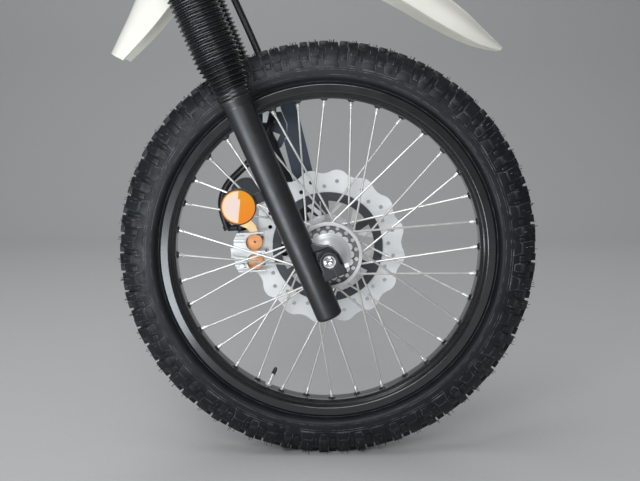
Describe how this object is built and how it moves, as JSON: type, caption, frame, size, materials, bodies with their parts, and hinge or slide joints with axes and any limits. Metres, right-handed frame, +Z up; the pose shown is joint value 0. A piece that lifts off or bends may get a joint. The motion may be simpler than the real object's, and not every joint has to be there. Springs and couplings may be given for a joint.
{
  "type": "motorcycle front wheel and fork",
  "caption": "Front end of a dual sport motorcycle: spoked wheel with knobbed tyre and disc brake, telescopic fork, lower yoke with stem, and high mudguard.",
  "frame": {"origin": "on the steering axis at the lower bearing's seat on the stem, 614 mm up that axis from the axle's level", "axes": "+X forward, +Y the bike's left, +Z up with the bike upright; the steering axis leans back by 23 degrees"},
  "size_m": [0.7257, 0.2694, 1.0947],
  "materials": {
    "tyre": "matt rubber, dusty on the knobs",
    "rim_black": "gloss black",
    "bright_steel": "bright plated",
    "cast_silver": "cast and turned",
    "disc_steel": "ground",
    "carrier_grey": "satin dark grey",
    "leg_black": "satin black",
    "chromed_tube": "hard chrome",
    "gaiter_rubber": "matt rubber",
    "black_plastic": "moulded",
    "caliper_silver": "cast, painted silver",
    "pad_copper": "coppered backing",
    "spring_yellow": "yellow passivated",
    "hose_rubber": "satin rubber",
    "amber_lens": "prismatic amber",
    "mudguard_white": "warm white plastic",
    "black_steel": "black plated"
  },
  "bodies": {
    "wheel": {"tyre": "tyre", "rim": "rim_black", "hub": "cast_silver", "spokes_right_trailing": "bright_steel", "spokes_right_leading": "bright_steel", "spokes_left_trailing": "bright_steel", "spokes_left_leading": "bright_steel", "spoke_nipples": "bright_steel", "brake_disc": "disc_steel", "disc_carrier": "carrier_grey", "disc_bolts": "black_steel", "valve_stem": "bright_steel"},
    "fork": {"steering_stem": "black_steel", "lower_yoke": "leg_black", "fork_tube_right": "chromed_tube", "fork_tube_left": "chromed_tube", "fork_cap_right": "cast_silver", "fork_cap_left": "cast_silver", "gaiter_right": "gaiter_rubber", "gaiter_left": "gaiter_rubber", "fork_leg_right": "leg_black", "fork_leg_left": "leg_black", "pinch_bolts": "bright_steel", "axle": "bright_steel", "axle_spacers": "cast_silver", "caliper_body": "caliper_silver", "brake_pads": "pad_copper", "pad_spring": "spring_yellow", "caliper_bracket": "black_steel", "reflector_right": "black_plastic", "reflector_left": "black_plastic", "reflector_lens_right": "amber_lens", "reflector_lens_left": "amber_lens", "disc_guard": "black_plastic", "brake_hose": "hose_rubber", "hose_fittings": "bright_steel", "hose_guide": "cast_silver", "mudguard": "mudguard_white", "mudguard_bracket": "black_steel"}
  },
  "joints": [
    {"name": "wheel_spin", "type": "hinge", "parent": "fork", "child": "wheel", "pos_m": [0.28962, 0, -0.54409], "axis": [0, 1, 0], "continuous": true}
  ]
}
